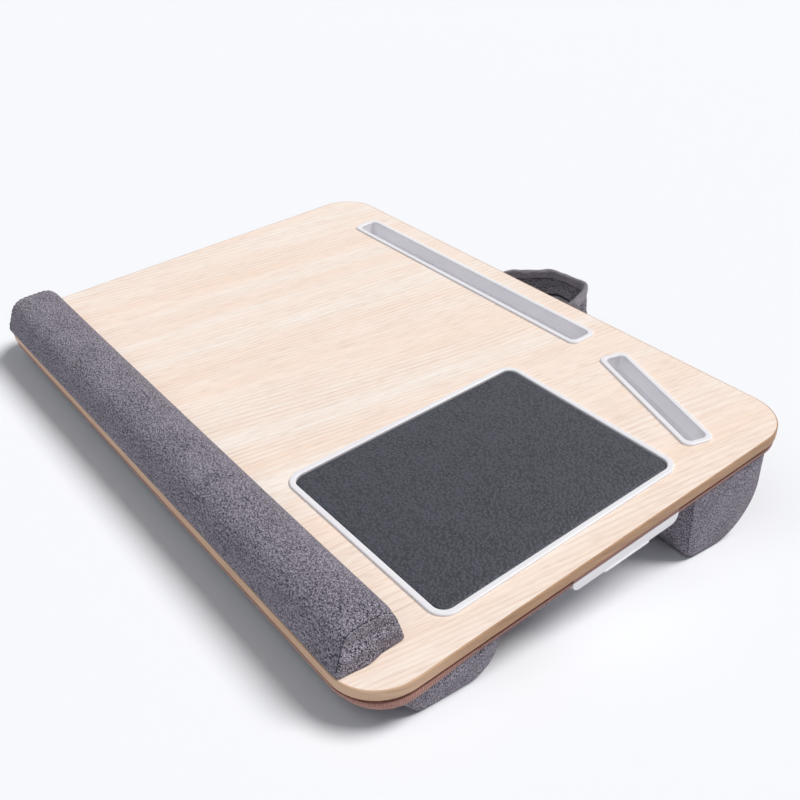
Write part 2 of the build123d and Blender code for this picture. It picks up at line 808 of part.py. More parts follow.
# Carry strap: an upright band bent to a loop, with a round end on each rivet
strap_plane = Plane(
    origin=board.from_local_coords((handle_offset, hinge_v, hinge_w)),
    x_dir=(1, 0, 0),
    z_dir=(0, -sin(strap_tilt), cos(strap_tilt)),
)
strap_points = [
    (side_share * strap_root, out_share * handle_reach)
    for side_share, out_share in zip(strap_across_shares, strap_out_shares)
]
with BuildPart() as handle_strap:
    with BuildSketch(strap_plane):
        with BuildLine():
            FilletPolyline(*strap_points, radius=strap_corner_radius)
        trace(line_width=strap_thickness)
    extrude(amount=strap_width / 2, both=True)
    for side in (-1, 1):
        with BuildSketch(across(handle_offset + side * strap_root - strap_thickness / 2)):
            with Locations((hinge_v, hinge_w)):
                Circle(strap_width / 2)
        extrude(amount=strap_thickness)
        with BuildSketch(across(handle_offset + side * strap_root - strap_thickness / 2)):
            with Locations((hinge_v, hinge_w)):
                Circle(rivet_radius + rivet_gap)
        extrude(amount=strap_thickness, mode=Mode.SUBTRACT)
handle_strap.part.label = "handle_strap"
export_step(handle_strap.part, "parts/handle_strap.step")


def handle_bracket(side):
    """A steel angle: a flange screwed under the base panel and an ear beside one end of the strap."""
    ear_place = handle_offset + side * (ear_inner + bracket_thickness / 2) - bracket_thickness / 2
    with BuildPart() as bracket:
        with BuildSketch(across(ear_place)):
            with Locations((hinge_v, hinge_w)):
                Circle(bracket_ear_radius)
                Rectangle(2 * bracket_ear_radius, handle_drop, align=(Align.CENTER, Align.MIN))
                Circle(rivet_radius + rivet_gap, mode=Mode.SUBTRACT)
        extrude(amount=bracket_thickness)
        with BuildSketch(base_underside):
            with Locations((handle_offset + side * (ear_inner + bracket_flange_length / 2), hinge_v)):
                Rectangle(bracket_flange_length, 2 * bracket_ear_radius)
            with Locations(*bracket_screw_places):
                Circle(pan_screw_radius + screw_gap, mode=Mode.SUBTRACT)
        extrude(amount=-bracket_thickness)
    return bracket.part


handle_bracket_left = handle_bracket(-1)
handle_bracket_left.label = "handle_bracket_left"
export_step(handle_bracket_left, "parts/handle_bracket_left.step")

handle_bracket_right = handle_bracket(1)
handle_bracket_right.label = "handle_bracket_right"
export_step(handle_bracket_right, "parts/handle_bracket_right.step")

# Rivets: a shank through the strap and the ear, with a head inside the loop and one outside the ear
rivet_inner = strap_root - strap_thickness / 2 - swing_gap
with BuildPart() as handle_rivets:
    for side in (-1, 1):
        with BuildSketch(across(handle_offset + side * rivet_inner)):
            with Locations((hinge_v, hinge_w)):
                Circle(rivet_radius)
        extrude(amount=side * (ear_outer - rivet_inner))
        for head in (rivet_inner - rivet_head_height, ear_outer):
            with BuildSketch(across(handle_offset + side * head)):
                with Locations((hinge_v, hinge_w)):
                    Circle(rivet_head_radius)
            extrude(amount=side * rivet_head_height)
handle_rivets.part.label = "handle_rivets"
export_step(handle_rivets.part, "parts/handle_rivets.step")

handle_screws = pan_screws(base_level - bracket_thickness, bracket_screw_places)
handle_screws.label = "handle_screws"
export_step(handle_screws, "parts/handle_screws.step")
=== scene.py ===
import json
import math
from typing import NamedTuple

import bpy
import numpy as np
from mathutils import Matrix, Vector, noise

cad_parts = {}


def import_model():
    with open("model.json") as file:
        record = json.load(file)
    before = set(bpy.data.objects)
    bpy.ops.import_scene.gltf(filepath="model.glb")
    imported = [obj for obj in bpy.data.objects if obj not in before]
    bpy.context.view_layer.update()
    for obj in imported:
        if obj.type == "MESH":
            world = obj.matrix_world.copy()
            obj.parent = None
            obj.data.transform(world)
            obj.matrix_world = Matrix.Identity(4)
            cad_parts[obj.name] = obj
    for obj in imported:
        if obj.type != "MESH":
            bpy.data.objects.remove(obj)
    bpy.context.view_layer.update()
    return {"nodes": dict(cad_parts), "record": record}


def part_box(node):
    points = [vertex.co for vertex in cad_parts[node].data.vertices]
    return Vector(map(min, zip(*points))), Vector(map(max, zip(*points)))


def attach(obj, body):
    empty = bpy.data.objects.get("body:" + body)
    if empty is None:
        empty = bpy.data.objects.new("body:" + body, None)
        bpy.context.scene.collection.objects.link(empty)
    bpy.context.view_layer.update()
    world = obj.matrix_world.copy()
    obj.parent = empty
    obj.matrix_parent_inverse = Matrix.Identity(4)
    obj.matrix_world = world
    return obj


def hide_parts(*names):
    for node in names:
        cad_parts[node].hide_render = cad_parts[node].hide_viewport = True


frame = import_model()
nodes = frame["nodes"]

# The board's own frame: x to the right, v towards its back edge, w along its normal, 0 on top at its centre
MM = 0.001
TILT = math.radians(9.4)
BOARD_THICKNESS = 8.2
BASE_LEVEL = -13.5
low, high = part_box("top_board")
ACROSS = Vector((1, 0, 0))
BACKWARD = Vector((0, math.cos(TILT), math.sin(TILT)))
UPWARD = Vector((0, -math.sin(TILT), math.cos(TILT)))
BOARD_ORIGIN = (low + high) / 2 + UPWARD * BOARD_THICKNESS / 2 * MM


def on_board(x, v, w):
    """The place in the row frame, in metres, of millimetres on the board."""
    return BOARD_ORIGIN + (ACROSS * x + BACKWARD * v + UPWARD * w) * MM


def floor_w(v, lift):
    """The w at v that stands lift millimetres above the floor."""
    return (lift - BOARD_ORIGIN.z / MM - v * math.sin(TILT)) / math.cos(TILT)


# The strap's width, where its hems start as a share of half of it, and how far apart its two faces lie in the
# cloth's own coordinates
STRAP_WIDTH = 32.0
HEM_SHARE = 0.56
STRAP_FACE_STEP = 80.0

# Materials, whose lengths are in metres


def colour(red, green, blue):
    """A colour written in sRGB bytes, as the linear colour that shaders take."""
    shares = (red / 255, green / 255, blue / 255)
    linear = [c / 12.92 if c <= 0.04045 else ((c + 0.055) / 1.055) ** 2.4 for c in shares]
    return (*linear, 1.0)


class Finish:
    """A material and short calls that add nodes to it."""

    def __init__(self, name, roughness, specular=0.5, metallic=0.0, sheen=0.0):
        self.material = bpy.data.materials.new(name)
        self.material.use_nodes = True
        self.tree = self.material.node_tree
        self.surface = self.tree.nodes["Principled BSDF"]
        self.surface.inputs["Roughness"].default_value = roughness
        self.surface.inputs["Specular IOR Level"].default_value = specular
        self.surface.inputs["Metallic"].default_value = metallic
        self.surface.inputs["Sheen Weight"].default_value = sheen

    def add(self, kind, inputs, **settings):
        """A node; an input that is a socket is joined, any other is set."""
        node = self.tree.nodes.new("ShaderNode" + kind)
        for key, value in settings.items():
            setattr(node, key, value)
        for key, value in inputs.items():
            if isinstance(value, bpy.types.NodeSocket):
                self.tree.links.new(value, node.inputs[key])
            else:
                node.inputs[key].default_value = value
        return node

    def calc(self, operation, *values):
        """The result of a Math node."""
        return self.add("Math", dict(enumerate(values)), operation=operation).outputs[0]

    def stretched(self, place, turn, scale):
        """Coordinates turned about Z, then divided by scale."""
        inputs = {"Vector": place, "Rotation": (0, 0, turn), "Scale": scale}
        return self.add("Mapping", inputs, vector_type="TEXTURE").outputs[0]

    def noise(self, place, size, detail=2.0, roughness=0.5):
        """Noise from 0 to 1 whose features are about size across, in the place's own units."""
        inputs = {"Vector": place, "Scale": 1 / size, "Detail": detail, "Roughness": roughness}
        return self.add("TexNoise", inputs).outputs[0]

    def spread(self, value, low_in, high_in, low_out=0.0, high_out=1.0):
        """A value moved from one range to another, and held inside that."""
        inputs = {0: value, 1: low_in, 2: high_in, 3: low_out, 4: high_out}
        return self.add("MapRange", inputs).outputs[0]

    def mix(self, factor, a, b):
        """Colour a where factor is 0, and colour b where it is 1."""
        inputs = {0: factor, 6: a, 7: b}
        return self.add("Mix", inputs, data_type="RGBA").outputs[2]

    def wave(self, value, pitch):
        """A wave from 0 to 1 that repeats each time that value grows by pitch."""
        return self.spread(self.calc("SINE", self.calc("MULTIPLY", value, 2 * math.pi / pitch)), -1, 1)

    def place(self):
        """The object's own coordinates."""
        return self.add("TexCoord", {}).outputs["Object"]

    def paint(self, socket):
        self.tree.links.new(socket, self.surface.inputs["Base Color"])

    def gloss(self, socket):
        self.tree.links.new(socket, self.surface.inputs["Roughness"])

    def bump(self, height, distance, strength):
        inputs = {"Height": height, "Distance": distance, "Strength": strength}
        node = self.add("Bump", inputs)
        self.tree.links.new(node.outputs[0], self.surface.inputs["Normal"])


# The wood's grain: its turn, how much longer than wide its streaks and its figure are, the pitch of its growth
# lines, and by how much the figure bends them
GRAIN_TURN = math.radians(-9)
GRAIN_STRETCH, FIGURE_STRETCH = (1, 14, 14), (1, 4.5, 4.5)
LINE_PITCH, LINE_BEND = 0.0048, 62.0


def wood_finish():
    """Pale ash laminate: broad tone, bent growth lines along the grain, and fine pores."""
    f = Finish("wood_laminate", roughness=0.42, specular=0.35)
    grain = f.stretched(f.place(), GRAIN_TURN, GRAIN_STRETCH)
    figure = f.stretched(f.place(), GRAIN_TURN, FIGURE_STRETCH)
    broad = f.noise(grain, 0.035, detail=3.0)
    bend = f.noise(figure, 0.11, detail=1.0)
    across = f.add("SeparateXYZ", {0: grain}).outputs[0]
    straight = f.calc("MULTIPLY", across, 2 * math.pi / LINE_PITCH)
    turns = f.calc("ADD", straight, f.calc("MULTIPLY", bend, LINE_BEND))
    rings = f.spread(f.calc("SINE", turns), -1, 1)
    lines = f.calc("POWER", rings, 2.6)
    faded = f.calc("MULTIPLY", lines, f.spread(f.noise(grain, 0.022), 0.32, 0.68))
    streaks = f.noise(grain, 0.0042, detail=3.0)
    pores = f.spread(f.noise(grain, 0.0011, detail=1.0), 0.52, 0.74)
    base = f.mix(f.spread(broad, 0.34, 0.66), colour(255, 233, 217), colour(255, 246, 238))
    base = f.mix(f.calc("MULTIPLY", faded, 0.55), base, colour(228, 198, 174))
    base = f.mix(f.spread(streaks, 0.35, 0.75, 0.0, 0.55), base, colour(243, 217, 198))
    base = f.mix(f.calc("MULTIPLY", pores, 0.4), base, colour(216, 190, 170))
    f.paint(base)
    f.bump(f.calc("ADD", faded, pores), -0.00005, 0.5)
    return f.material


# The band is painted paler at the front as painted light, and the tape darker on the sides and back as painted
# shade under the band; the change runs from the first of these y to the second
PAINTED_LIGHT_SPAN = (-0.205, -0.125)
TAPE_RIB_PITCH = 0.0013


def band_finish():
    """Edge band of the same wood, darker, with streaks along the edge, and painted light that makes it paler along
    the front.
    """
    f = Finish("edge_band", roughness=0.45, specular=0.3)
    place = f.add("Mapping", {"Vector": f.place(), "Scale": (0.05, 0.05, 1)}).outputs[0]
    streaks = f.noise(place, 0.0016, detail=3.0)
    broad = f.noise(f.place(), 0.05)
    side = f.mix(f.spread(streaks, 0.3, 0.7), colour(191, 151, 115), colour(163, 124, 92))
    side = f.mix(f.spread(broad, 0.35, 0.7, 0.0, 0.4), side, colour(176, 137, 104))
    # Painted light: the band's front face gets a paler colour, standing in for the light that falls on it there
    front = f.mix(f.spread(streaks, 0.3, 0.7), colour(226, 191, 159), colour(206, 168, 137))
    along = f.add("SeparateXYZ", {0: f.place()}).outputs[1]
    f.paint(f.mix(f.spread(along, *PAINTED_LIGHT_SPAN), front, side))
    f.bump(streaks, 0.00005, 0.4)
    return f.material


def tape_finish():
    """Red-brown woven tape with fine ribs across it, and painted shade that makes it darker on the sides and back
    than along the front.
    """
    f = Finish("edge_tape", roughness=0.8, specular=0.2, sheen=0.2)
    xyz = f.add("SeparateXYZ", {0: f.place()})
    along = f.calc("ADD", xyz.outputs[0], f.calc("MULTIPLY", xyz.outputs[1], 0.8))
    ribs = f.wave(along, TAPE_RIB_PITCH)
    speckle = f.noise(f.place(), 0.0012)
    front = f.mix(ribs, colour(160, 114, 103), colour(202, 156, 144))
    # Painted shade: the tape is darker on the sides and back, standing in for the shade under the band
    side = f.mix(ribs, colour(126, 86, 78), colour(162, 116, 106))
    base = f.mix(f.spread(xyz.outputs[1], *PAINTED_LIGHT_SPAN), front, side)
    f.paint(f.mix(f.spread(speckle, 0.4, 0.7, 0.0, 0.5), base, colour(134, 94, 85)))
    f.bump(ribs, 0.0002, 0.8)
    return f.material


def board_finish(name, pale, dark):
    """Pressed hardboard: flecks of fibre on a smooth face."""
    f = Finish(name, roughness=0.62, specular=0.3)
    flecks = f.noise(f.place(), 0.0016, detail=4.0, roughness=0.65)
    cloud = f.noise(f.place(), 0.05)
    base = f.mix(f.spread(flecks, 0.35, 0.68), pale, dark)
    f.paint(f.mix(f.spread(cloud, 0.35, 0.75, 0.0, 0.25), base, dark))
    f.bump(flecks, 0.00012, 0.5)
    return f.material


def plastic_finish():
    """White satin plastic with a fine moulded texture."""
    f = Finish("white_plastic", roughness=0.36, specular=0.45)
    grain = f.noise(f.place(), 0.0009)
    cloud = f.noise(f.place(), 0.06)
    f.paint(f.mix(f.spread(cloud, 0.3, 0.7), colour(242, 240, 243), colour(237, 235, 239)))
    f.gloss(f.spread(grain, 0.3, 0.7, 0.32, 0.42))
    f.bump(grain, 0.00003, 0.4)
    return f.material


PEBBLE_SIZE = 0.0019


def leather_finish():
    """Dark grey pebbled leather."""
    f = Finish("dark_leather", roughness=0.5, specular=0.4)
    pebble_inputs = {"Vector": f.place(), "Scale": 1 / PEBBLE_SIZE, "Smoothness": 0.4, "Randomness": 1.0}
    pebbles = f.add("TexVoronoi", pebble_inputs, feature="SMOOTH_F1").outputs["Distance"]
    hills = f.spread(pebbles, 0.15, 0.75, 1.0, 0.0)
    cloud = f.noise(f.place(), 0.018)
    creases = f.noise(f.place(), 0.004, detail=3.0)
    # Painted light and shade: the pebbles' tops are paler and the valleys between them darker, standing in for how
    # light falls on the grain
    base = f.mix(f.spread(hills, 0.1, 0.8), colour(39, 40, 47), colour(63, 65, 75))
    f.paint(f.mix(f.spread(cloud, 0.35, 0.7, 0.0, 0.3), base, colour(68, 70, 80)))
    f.gloss(f.spread(hills, 0.0, 1.0, 0.62, 0.46))
    f.bump(f.calc("ADD", hills, f.calc("MULTIPLY", creases, 0.5)), 0.00035, 0.9)
    return f.material


# A yarn's streaks of fibre: their width over their length, and their width in yarns
FIBRE_SLIM, FIBRE_WIDTH = 0.34, 0.75

# How soon the painted light on the hem grows past its line, how wide the painted shadow line under the hem's step
# is, and where that shadow ends
HEM_LIGHT_FADE, HEM_SHADOW_WIDTH, HEM_SHADOW_END = 0.0006, 0.0003, 0.0013


def fabric_finish(name, dark, light, yarn, hem_painted_light=False):
    """Heathered plain weave that follows the cloth: each yarn has its own streaks of dark and light fibre.
    With hem_painted_light, painted light makes the cloth paler from its hem line out, and a painted shadow under
    the hem's step darkens that line."""
    f = Finish(name, roughness=0.92, specular=0.15, sheen=0.18)
    cloth = f.add("UVMap", {}, uv_map="weave").outputs[0]
    threads = f.add("VectorMath", {0: cloth, 3: 1 / yarn}, operation="SCALE").outputs[0]
    warp_place = {"Vector": threads, "Scale": (1.0, FIBRE_SLIM, 1)}
    warp = f.noise(f.add("Mapping", warp_place).outputs[0], FIBRE_WIDTH)
    weft_place = {"Vector": threads, "Scale": (FIBRE_SLIM, 1.0, 1), "Location": (31, 17, 5)}
    weft = f.noise(f.add("Mapping", weft_place).outputs[0], FIBRE_WIDTH)
    over = f.add("TexChecker", {"Vector": threads, "Scale": 1.0}).outputs["Fac"]
    xy = f.add("SeparateXYZ", {0: threads})
    round_u = f.calc("ABSOLUTE", f.calc("SINE", f.calc("MULTIPLY", xy.outputs[0], math.pi)))
    round_v = f.calc("ABSOLUTE", f.calc("SINE", f.calc("MULTIPLY", xy.outputs[1], math.pi)))
    yarn_tone = f.add("Mix", {0: over, 2: warp, 3: weft}).outputs[0]
    yarn_round = f.add("Mix", {0: over, 2: round_u, 3: round_v}).outputs[0]
    cloud = f.noise(cloth, 0.03, detail=3.0)
    tone = f.calc("ADD", yarn_tone, f.calc("MULTIPLY", f.calc("SUBTRACT", cloud, 0.5), 0.09))
    base = f.mix(f.spread(tone, 0.43, 0.59), dark, light)
    # Painted shade: each yarn is darker towards its edges, standing in for the shade of its roundness and of the
    # gaps between yarns
    base = f.mix(f.spread(yarn_round, 0.0, 0.7, 0.45, 0.0), base, dark)
    if hem_painted_light:
        across = f.add("SeparateXYZ", {0: cloth}).outputs[1]
        half_step = STRAP_FACE_STEP / 2 * MM
        height = f.calc("ABSOLUTE", f.calc("WRAP", across, half_step, -half_step))
        past = f.calc("SUBTRACT", height, HEM_SHARE * STRAP_WIDTH / 2 * MM)
        # Painted light on the hem, paler from its line out, then a painted shadow along the line under the hem's
        # step
        base = f.mix(f.spread(past, 0.0, HEM_LIGHT_FADE, 0.0, 0.5), base, light)
        hem_shadow = f.spread(f.calc("ABSOLUTE", past), HEM_SHADOW_WIDTH, HEM_SHADOW_END, 0.85, 0.0)
        base = f.mix(hem_shadow, base, colour(34, 32, 37))
    f.paint(base)
    f.bump(f.calc("ADD", yarn_round, f.calc("MULTIPLY", yarn_tone, 0.8)), 0.00035, 0.8)
    return f.material


TWIST_PITCH = 0.0007


def thread_finish():
    """Dark sewing thread with a twist."""
    f = Finish("sewing_thread", roughness=0.7, specular=0.25, sheen=0.2)
    xyz = f.add("SeparateXYZ", {0: f.place()})
    slant = f.calc("ADD", xyz.outputs[0], f.calc("ADD", xyz.outputs[1], xyz.outputs[2]))
    twist = f.wave(slant, TWIST_PITCH)
    f.paint(f.mix(twist, colour(38, 36, 42), colour(66, 63, 71)))
    f.bump(twist, 0.0001, 0.6)
    return f.material


def metal_finish(name, tone, roughness):
    """Plated steel with fine rub marks."""
    f = Finish(name, roughness=roughness, metallic=1.0)
    place = f.add("Mapping", {"Vector": f.place(), "Scale": (1, 12, 12)}).outputs[0]
    rubs = f.noise(place, 0.004, detail=3.0)
    darker = (*(0.8 * c for c in tone[:3]), 1.0)
    f.paint(f.mix(f.spread(rubs, 0.35, 0.65), tone, darker))
    f.gloss(f.spread(rubs, 0.3, 0.7, roughness - 0.06, roughness + 0.1))
    return f.material


GREY_FABRIC = fabric_finish("grey_fabric", colour(46, 43, 55), colour(198, 189, 204), yarn=0.0008)
# The strap's cloth has painted light on its hems and a painted shadow line under them
STRAP_FABRIC = fabric_finish("strap_fabric", colour(64, 60, 69), colour(186, 180, 191), yarn=0.0009, hem_painted_light=True)
THREAD = thread_finish()
LEATHER = leather_finish()
finishes = {
    "wood_laminate": wood_finish(),
    "edge_band": band_finish(),
    "base_board": board_finish("base_board", colour(122, 94, 77), colour(94, 70, 57)),
    "edge_tape": tape_finish(),
    "white_plastic": plastic_finish(),
    "backing_board": board_finish("backing_board", colour(150, 144, 138), colour(112, 107, 102)),
    "bracket_steel": metal_finish("bracket_steel", (0.55, 0.55, 0.56, 1.0), 0.34),
    "screw_steel": metal_finish("screw_steel", (0.42, 0.42, 0.43, 1.0), 0.3),
    "dark_leather": LEATHER,
    "grey_fabric": GREY_FABRIC,
    "strap_fabric": STRAP_FABRIC,
    "foam": board_finish("foam", colour(196, 190, 176), colour(168, 161, 146)),
}
slot_of_node = {row["node"]: row["material_slot"] for row in frame["record"]["subparts"]}


# Mesh helpers


def add_mesh(name, points, faces, material, uvs=None):
    """A smooth-shaded object of points in metres. uvs gives the cloth's own coordinates of each face's corners."""
    mesh = bpy.data.meshes.new(name)
    mesh.from_pydata([tuple(p) for p in points], [], faces)
    if uvs is not None:
        layer = mesh.uv_layers.new(name="weave")
        flat = np.array([place for corners in uvs for place in corners], np.float32)
        layer.data.foreach_set("uv", flat.ravel())
    mesh.shade_smooth()
    mesh.materials.append(material)
    obj = bpy.data.objects.new(name, mesh)
    bpy.context.scene.collection.objects.link(obj)
    return obj


def tube_corners(rings, count):
    """For each face between closed rings of count points, its corners as pairs of ring and place in the ring."""
    for r in range(rings - 1):
        for j in range(count):
            k = (j + 1) % count
            yield (r, j), (r, k), (r + 1, k), (r + 1, j)


def tube_faces(rings, count, start=0):
    """The faces between closed rings of count points, then those that close the first ring and the last."""
    faces = [[start + r * count + j for r, j in corners] for corners in tube_corners(rings, count)]
    first, last = ([start + r * count + j for j in range(count)] for r in (0, rings - 1))
    return faces + [first[::-1], last]


def runs(path):
    """The length along a path up to each of its places."""
    return np.concatenate([[0], np.cumsum(np.linalg.norm(np.diff(path, axis=0), axis=1))])


def even(path, count):
    """count places evenly spaced along a path of places."""
    path = np.array(path, float)
    run = runs(path)
    at = np.linspace(0, run[-1], count)
    return np.stack([np.interp(at, run, path[:, k]) for k in range(path.shape[1])], 1)


def headings(path):
    """The way ahead at each place of a path."""
    ahead = np.gradient(path, axis=0)
    return ahead / np.linalg.norm(ahead, axis=1)[:, None]


ARC_STEPS = 12


def rounded(corners, radii):
    """An open path whose inner corners are rounded by arcs of the given radii."""
    corners = [np.array(c, float) for c in corners]
    path = [corners[0]]
    for before, corner, after, radius in zip(corners, corners[1:], corners[2:], radii):
        a = (before - corner) / np.linalg.norm(before - corner)
        b = (after - corner) / np.linalg.norm(after - corner)
        half = math.acos(np.clip(a @ b, -1, 1)) / 2
        bisector = (a + b) / np.linalg.norm(a + b)
        centre = corner + bisector * radius / math.sin(half)
        start, end = corner + a * radius / math.tan(half), corner + b * radius / math.tan(half)
        for t in np.linspace(0, 1, ARC_STEPS):
            p = start * (1 - t) + end * t - centre
            path.append(centre + p / np.linalg.norm(p) * radius)
    path.append(corners[-1])
    return path


def subdivide(obj):
    modifier = obj.modifiers.new("subdivide", "SUBSURF")
    modifier.levels = 1
    modifier.render_levels = 1


# Padded rolls: the wrist rest and the two bolsters, in millimetres

# The size of their faces, the cloth that a seam takes up, and the height over which it draws in less near the feet
ROLL_STEP = 4.5
SEAM_WIDTH = 2.4
SEAM_CALM = 10.0

# The rings of a cap, from its seam to its middle, as shares of the section
CAP_RINGS = (0.94, 0.84, 0.70, 0.54, 0.38, 0.20)

# The crease across a cap: where its two sides lie and how wide they are, as shares of the height, and how far they
# stand out as shares of its depth
CAP_CREASE = ((0.60, 0.10, -0.8), (0.40, 0.13, 0.7))

# The push at a cap's lower edge: where along it from the last foot to the first, how wide it is on either side as
# shares of its length, and how high it reaches as a share of the height
FOOT_PUSH_AT, FOOT_PUSH_WIDTH, FOOT_PUSH_HEIGHT = 0.47, (0.24, 0.11), 0.28

# The pinch in a seam: how far it reaches along from the last foot, where it lies as a share of the height, and how
# wide it is
PINCH_REACH, PINCH_AT, PINCH_WIDTH = 0.5, 0.66, 0.14

# The share of a cap's skew that its lower edge has
SKEW_AT_FOOT = 0.25


class Cap(NamedTuple):
    """One end of a padded roll. It leans out by lean at its feet and bulges by bulge. Its seam draws the cloth in
    by draw, less near the feet, and by pinch more at one place. It lies back by skew towards the last foot, its
    lower edge is pushed out by push, and a crease of depth fold runs across it."""

    lean: float
    bulge: float
    draw: float
    skew: float = 0.0
    push: float = 0.0
    fold: float = 0.0
    pinch: float = 0.0


def padded_roll(name, outline, half_length, left_cap, right_cap, keep_clear, left_swell=0.0):
    """A stuffed roll along x, with a cap of cloth sewn on at each end, and the points along its two seams. outline
    is the sewn path round its section, from foot to foot. Its flat side joins the feet. The section is wider by
    the share left_swell at the left end. keep_clear moves a point out of what carries the roll."""
    over = even(outline, 2 + int(runs(outline)[-1] / ROLL_STEP))
    flat = even([over[-1], over[0]], 2 + int(np.linalg.norm(over[-1] - over[0]) / ROLL_STEP))[1:-1]
    ring = np.concatenate([over, flat])
    count = len(ring)
    middle = ring.mean(0)
    tallest = np.abs(ring[:, 1] - over[0, 1]).max()
    run = runs(np.vstack([ring, ring[:1]]))

    def level(spot):
        """How high a place of the section is, from 0 at the feet to 1."""
        return abs(spot[1] - over[0, 1]) / tallest

    def along(spot):
        """Where a place of the section is, from 0 at the last foot to 1 at the first."""
        return (spot[0] - over[-1, 0]) / (over[0, 0] - over[-1, 0])

    def outward(cap, spot):
        """How far out along x the cap's skew and push move a place."""
        width = FOOT_PUSH_WIDTH[0] if along(spot) < FOOT_PUSH_AT else FOOT_PUSH_WIDTH[1]
        push = math.exp(-((along(spot) - FOOT_PUSH_AT) / width) ** 2 - (level(spot) / FOOT_PUSH_HEIGHT) ** 2)
        skew = (1 - along(spot)) * (SKEW_AT_FOOT + (1 - SKEW_AT_FOOT) * level(spot))
        return cap.push * push - cap.skew * skew

    def seam_ring(cap, side):
        """The ring where the cap is sewn on."""
        spots = []
        for p in ring:
            draw = cap.draw * min(1.0, level(p) * tallest / SEAM_CALM)
            if along(p) < PINCH_REACH:
                draw += cap.pinch * math.exp(-((level(p) - PINCH_AT) / PINCH_WIDTH) ** 2)
            x = half_length - cap.lean * level(p) + outward(cap, p)
            spots.append((side * x, *(p + (middle - p) / np.linalg.norm(middle - p) * draw)))
        return spots

    def cap_ring(cap, side, share):
        """One ring of the cap, nearer its middle as share falls."""
        spots = []
        for p in ring:
            spot = middle + (p - middle) * share
            crease = sum(size * math.exp(-((level(spot) - at) / width) ** 2)
                         for at, width, size in CAP_CREASE)
            x = half_length - cap.lean * (1 - share * (1 - level(p))) + cap.bulge * (1 - share * share)
            spots.append((side * (x + cap.fold * crease + outward(cap, spot)), *spot))
        return spots

    rings = [cap_ring(left_cap, -1, share) for share in CAP_RINGS[::-1]]
    first_seam = len(rings)
    rings.append(seam_ring(left_cap, -1))
    left_end, right_end = (half_length - cap.lean - cap.skew - SEAM_WIDTH for cap in (left_cap, right_cap))
    for x in np.linspace(-left_end, right_end, int(2 * half_length / ROLL_STEP)):
        rings.append([(x, *p) for p in ring])
    last_seam = len(rings)
    rings.append(seam_ring(right_cap, 1))
    rings += [cap_ring(right_cap, 1, share) for share in CAP_RINGS]

    places = np.array(rings)
    wider = 1 + left_swell * (half_length - places[:, :, 0]) / (2 * half_length)
    places[:, :, 1] = middle[0] + (places[:, :, 1] - middle[0]) * wider
    points = places.reshape(-1, 3)
    faces, uvs = tube_faces(len(rings), count), []
    for corners in tube_corners(len(rings), count):
        (r, j), (_, k) = corners[:2]
        if r < first_seam or r >= last_seam:
            uvs.append([tuple(places[a, b, 1:] * MM) for a, b in corners])
        else:
            ends = {j: run[j], k: run[j + 1]}
            uvs.append([(places[a, b, 0] * MM, ends[b] * MM) for a, b in corners])
    uvs += [[tuple(points[i][1:] * MM) for i in loop] for loop in faces[-2:]]
    obj = add_mesh(name, [on_board(*p) for p in points], faces, GREY_FABRIC, uvs)
    index = np.arange(len(points)).reshape(len(rings), count)
    pinned = set(index[first_seam]) | set(index[last_seam]) | set(index[:, len(over):].ravel())
    pinned |= set(index[:, 0]) | set(index[:, len(over) - 1])
    inflate(obj, [int(i) for i in pinned])
    settle(obj, keep_clear)
    subdivide(obj)
    smooth = obj.evaluated_get(bpy.context.evaluated_depsgraph_get()).to_mesh()
    sewn = (index[first_seam, :len(over)], index[last_seam, :len(over)])
    return obj, [[smooth.vertices[int(i)].co.copy() for i in seam] for seam in sewn]


# The cloth simulation: its pressure, its length, and the most that a point may move
PRESSURE = 3.5
CLOTH_FRAMES = 16
MOST_SWELL = 2.6


def inflate(obj, pinned):
    """Fills the cover: pressure swells the cloth between its pinned points, no point by more than MOST_SWELL."""
    group = obj.vertex_groups.new(name="sewn")
    group.add(pinned, 1.0, "REPLACE")
    cloth = obj.modifiers.new("cloth", "CLOTH")
    settings = cloth.settings
    settings.quality = 6
    settings.mass = 0.25
    settings.tension_stiffness = 18
    settings.compression_stiffness = 18
    settings.bending_stiffness = 0.8
    settings.vertex_group_mass = group.name
    settings.use_pressure = True
    settings.uniform_pressure_force = PRESSURE
    settings.effector_weights.gravity = 0
    cloth.collision_settings.use_self_collision = False
    cloth.point_cache.frame_end = CLOTH_FRAMES
    rest = np.array([v.co for v in obj.data.vertices])
    for step in range(1, CLOTH_FRAMES + 1):
        bpy.context.scene.frame_set(step)
    swollen = obj.evaluated_get(bpy.context.evaluated_depsgraph_get()).to_mesh()
    moved = np.array([v.co for v in swollen.vertices]) - rest
    size = np.linalg.norm(moved, axis=1)
    moved *= np.minimum(1, MOST_SWELL * MM / np.maximum(size, 1e-9))[:, None]
    obj.modifiers.remove(cloth)
    obj.data.vertices.foreach_set("co", (rest + moved).ravel())
    obj.data.update()
    bpy.context.scene.frame_set(1)


def settle(obj, keep_clear):
    """Moves the points that keep_clear finds inside what carries the cover."""
    for vertex in obj.data.vertices:
        vertex.co = keep_clear(vertex.co)
    obj.data.update()


# A thread's flat sides, a way that no path of stitches takes, and the steps along a path for each stitch
STITCH_SIDES = 6
STITCH_SIDE = (0.9, 0.1, 0.42)
STITCH_STEPS = 12

# Along a stitch, as a share of its length from its middle, and its radius there as a share
STITCH_FORM = ((-0.5, 0.35), (-0.36, 0.9), (0.0, 1.0), (0.36, 0.9), (0.5, 0.35))


